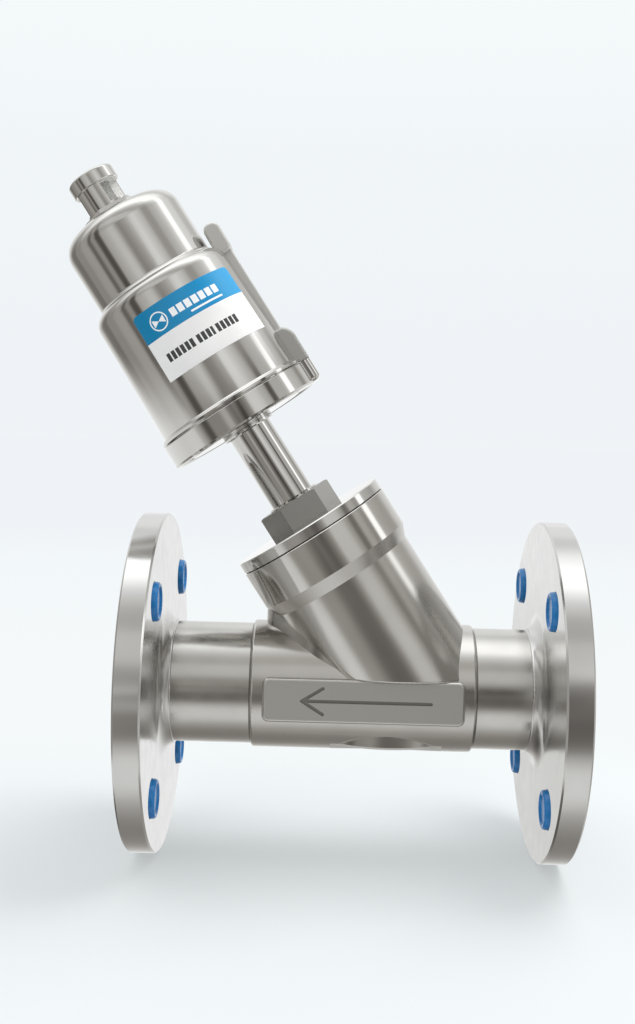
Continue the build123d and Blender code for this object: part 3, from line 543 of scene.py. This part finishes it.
def label_film():
    """Metallised film: blue band above, silver band below, a bow-tie valve sign and plain bars in place of lettering."""
    m = bpy.data.materials.new("label_film")
    m.use_nodes = True
    t = Tree(m.node_tree)
    t.n.clear()
    out = t.new("ShaderNodeOutputMaterial")
    b = t.new("ShaderNodeBsdfPrincipled")
    t.link(b.outputs[0], out.inputs["Surface"])
    v = stem_coords(t)
    sp = t.new("ShaderNodeSeparateXYZ")
    t.link(v, sp.inputs[0])
    # stem_coords: X to the port side, -Y to the front, Z up the stem
    ang = t.math("ARCTAN2", sp.outputs["X"], t.math("MULTIPLY", sp.outputs["Y"], -1.0))
    u = t.math("MULTIPLY", ang, 35.8)                      # millimetres round the cylinder
    h = t.math("MULTIPLY", sp.outputs["Z"], 1000.0)        # millimetres up the stem

    def inside(value, lo, hi):
        return t.math("MULTIPLY", t.math("GREATER_THAN", value, lo), t.math("LESS_THAN", value, hi))

    def bar(u0, u1, h0, h1):
        return t.math("MULTIPLY", inside(u, u0, u1), inside(h, h0, h1))

    def union(parts):
        acc = parts[0]
        for q in parts[1:]:
            acc = t.math("MAXIMUM", acc, q)
        return acc

    blue = t.math("GREATER_THAN", h, 198.8)
    du = t.math("SUBTRACT", u, -6.2)
    dh = t.math("SUBTRACT", h, 204.9)
    adu = t.math("ABSOLUTE", du)
    bow = t.math("MULTIPLY", t.math("LESS_THAN", t.math("ABSOLUTE", dh), t.math("MULTIPLY", adu, 0.62)), t.math("LESS_THAN", adu, 2.9))
    rr = t.math("SQRT", t.math("ADD", t.math("MULTIPLY", du, du), t.math("MULTIPLY", dh, dh)))
    circle = inside(rr, 3.7, 4.3)

    def blocks(u0, u1, h0, h1, pitch, width):
        """A row of plain blocks in place of a line of lettering."""
        phase = t.math("FRACT", t.math("DIVIDE", t.math("SUBTRACT", u, u0), pitch))
        return t.math("MULTIPLY", bar(u0, u1, h0, h1), t.math("LESS_THAN", phase, width / pitch))

    white = union([bow, circle, blocks(0.2, 26.0, 203.2, 207.0, 3.75, 2.9), bar(8.6, 26.0, 200.6, 201.5)])
    dark = union([blocks(-11.6, 2.6, 187.0, 191.0, 2.45, 1.8), blocks(4.2, 12.8, 187.0, 191.0, 2.45, 1.8), blocks(14.2, 26.0, 187.0, 191.0, 2.45, 1.8)])
    tone = noise(t, v, 60.0, 2.0)
    silver = t.ramp(tone, [(0.3, (0.80, 0.80, 0.80)), (0.7, (0.86, 0.86, 0.865))], "LINEAR")
    # painted shading: the blue band is darkest at the front-left and lightest towards the port side, as light falls
    # across the curved label
    band = t.ramp(t.maprange(u, -17.0, 38.0, 0, 1), [(0.0, (0.002, 0.20, 0.40)), (0.6, (0.004, 0.25, 0.52)), (1.0, (0.02, 0.33, 0.66))], "LINEAR")
    c1 = t.mix(blue, silver, band)
    c2 = t.mix(white, c1, (0.88, 0.90, 0.92))
    c3 = t.mix(dark, c2, (0.05, 0.05, 0.052))
    t.link(c3, b.inputs["Base Color"])
    b.inputs["Roughness"].default_value = 0.32
    b.inputs["Specular IOR Level"].default_value = 0.35
    b.inputs["Coat Weight"].default_value = 0.15
    b.inputs["Coat Roughness"].default_value = 0.12
    return m


M_LABEL = label_film()

MATERIAL_OF = {
    "valve_body": M_CAST, "inlet_stub": M_PIPE, "outlet_stub": M_PIPE, "inlet_flange": M_FLANGE, "outlet_flange": M_FLANGE,
    "bonnet": M_BONNET, "bonnet_gasket": M_RUBBER, "packing_spring": M_SPRING, "packing_washer": M_MACHINED,
    "packing_rings": M_PTFE, "guide_bush": M_BRONZE, "gland_nut": M_MACHINED, "yoke_tube": M_MACHINED,
    "tube_lock_ring": M_MACHINED, "swivel_collar": M_MACHINED, "stem": M_MACHINED, "plug": M_MACHINED,
    "plug_pin": M_MACHINED, "plug_seal": M_PTFE, "seal_retainer": M_MACHINED, "plug_nut": M_HEX,
    "piston": M_ALLOY, "piston_seal": M_RUBBER, "piston_wear_ring": M_PTFE, "piston_washer": M_MACHINED,
    "piston_nut": M_HEX, "indicator_rod": M_MACHINED, "actuator_shell": M_POLISH, "actuator_base": M_POLISH,
    "base_o_ring": M_RUBBER, "rod_bush": M_BRONZE, "rod_seal": M_RUBBER, "port_rail": M_RAIL,
    "return_spring": M_SPRING, "indicator_housing": M_INDICATOR, "indicator_o_ring": M_RUBBER, "label": M_LABEL,
}
for name, obj in nodes.items():
    obj.data.materials.clear()
    obj.data.materials.append(MATERIAL_OF[name])


# ------------------------------------------------------------------ blue transport plugs in the bolt holes
def lathe_x(name, cx, cy, cz, sign, profile, segments=48):
    """A turned piece about a line along X through (cx, cy, cz); profile is (radius, distance along sign*X) in mm."""
    bm = bmesh.new()
    rings = []
    for r, h in profile:
        if r < 1e-6:
            rings.append([bm.verts.new((cx + sign * h / 1000, cy, cz))])
        else:
            rings.append([
                bm.verts.new((
                    cx + sign * h / 1000,
                    cy + r / 1000 * math.cos(2 * math.pi * k / segments),
                    cz + r / 1000 * math.sin(2 * math.pi * k / segments),
                )) for k in range(segments)
            ])
    for r0, r1 in zip(rings, rings[1:]):
        for k in range(segments):
            k2 = (k + 1) % segments
            if len(r0) == 1:
                bm.faces.new((r0[0], r1[k], r1[k2]))
            elif len(r1) == 1:
                bm.faces.new((r0[k], r1[0], r0[k2]))
            else:
                bm.faces.new((r0[k], r1[k], r1[k2], r0[k2]))
    bmesh.ops.recalc_face_normals(bm, faces=bm.faces)
    me = bpy.data.meshes.new(name)
    bm.to_mesh(me)
    bm.free()
    me.polygons.foreach_set("use_smooth", [True] * len(me.polygons))
    ob = bpy.data.objects.new(name, me)
    scene.collection.objects.link(ob)
    return ob


PLUG = [
    (0, 1.5), (5.9, 1.5), (6.4, 1.7), (6.9, 2.4), (7.5, 2.7), (8.1, 2.6), (8.55, 2.1), (8.75, 1.3), (8.8, 0.0),
    (8.8, -9.0), (8.85, -9.4), (8.85, -11.2), (8.5, -11.7), (0, -11.7),
]
bolt = 0.0625 * math.cos(math.pi / 4)
for side, x_face, sign in (("inlet", -0.012, -1), ("outlet", -0.188, 1)):
    for k, (sy, sz) in enumerate(((-1, 1), (1, 1), (1, -1), (-1, -1)), 1):
        ob = lathe_x(f"{side}_bolt_plug_{k}", x_face, sy * bolt, sz * bolt, sign, PLUG)
        ob.data.materials.append(M_BLUE)
        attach(ob, "valve_body")
        ob.visible_glossy = False


# ------------------------------------------------------------------ stage
def floor_material():
    m = bpy.data.materials.new("studio_floor")
    m.use_nodes = True
    t = Tree(m.node_tree)
    t.n.clear()
    out = t.new("ShaderNodeOutputMaterial")
    d = t.new("ShaderNodeBsdfDiffuse")
    d.inputs["Color"].default_value = (FLOOR_TONE[0], FLOOR_TONE[1], FLOOR_TONE[2], 1)
    soft = t.new("ShaderNodeEmission")
    soft.inputs["Color"].default_value = (FLOOR_FILL[0], FLOOR_FILL[1], FLOOR_FILL[2], 1)
    both = t.new("ShaderNodeAddShader")
    t.link(d.outputs[0], both.inputs[0])
    t.link(soft.outputs[0], both.inputs[1])
    e = t.new("ShaderNodeEmission")
    tcf = t.new("ShaderNodeTexCoord")
    sp = t.new("ShaderNodeSeparateXYZ")
    t.link(tcf.outputs["Object"], sp.inputs[0])
    depth = t.math("MULTIPLY", sp.outputs["Y"], 1.0)
    glow = t.ramp(t.maprange(depth, 0.0, 3.0, 0, 1), [
        (0.0, (0.915, 0.95, 0.958)), (0.12, (0.912, 0.948, 0.958)), (0.3, (0.895, 0.935, 0.952)), (0.6, (0.865, 0.90, 0.93)), (1.0, (0.86, 0.895, 0.925)),
    ], "EASE")
    t.link(glow, e.inputs["Color"])
    ms = t.new("ShaderNodeMixShader")
    t.link(t.maprange(depth, 0.09, 0.24, 0, 1, smooth=True), ms.inputs[0])
    t.link(both.outputs[0], ms.inputs[1])
    t.link(e.outputs[0], ms.inputs[2])
    t.link(ms.outputs[0], out.inputs["Surface"])
    return m


FLOOR_TONE = (0.37, 0.385, 0.39)
FLOOR_FILL = (0.375, 0.40, 0.41)
floor_mesh = bpy.data.meshes.new("floor")
floor_mesh.from_pydata([(-8, -0.55, -0.0802), (8, -0.55, -0.0802), (8, 14, -0.0802), (-8, 14, -0.0802)], [], [(0, 1, 2, 3)])
floor = bpy.data.objects.new("floor", floor_mesh)
scene.collection.objects.link(floor)
floor.data.materials.append(floor_material())
floor.visible_glossy = False


def soft_box(name, loc, target, size, energy, color):
    data = bpy.data.lights.new(name, "AREA")
    data.shape = "RECTANGLE"
    data.size, data.size_y = size
    data.energy = energy
    data.color = color
    ob = bpy.data.objects.new(name, data)
    scene.collection.objects.link(ob)
    ob.location = loc
    ob.rotation_euler = (Vector(target) - Vector(loc)).to_track_quat("-Z", "Y").to_euler()
    ob.visible_glossy = False
    return ob


soft_box("overhead", (0.38, 0.20, 1.05), (-0.09, 0.0, 0.0), (0.85, 0.6), 8.6, (1.0, 0.998, 0.992))
soft_box("front_fill", (-0.25, -1.3, 0.55), (-0.09, 0, 0.08), (1.2, 0.8), 5.0, (1.0, 1.0, 1.0))
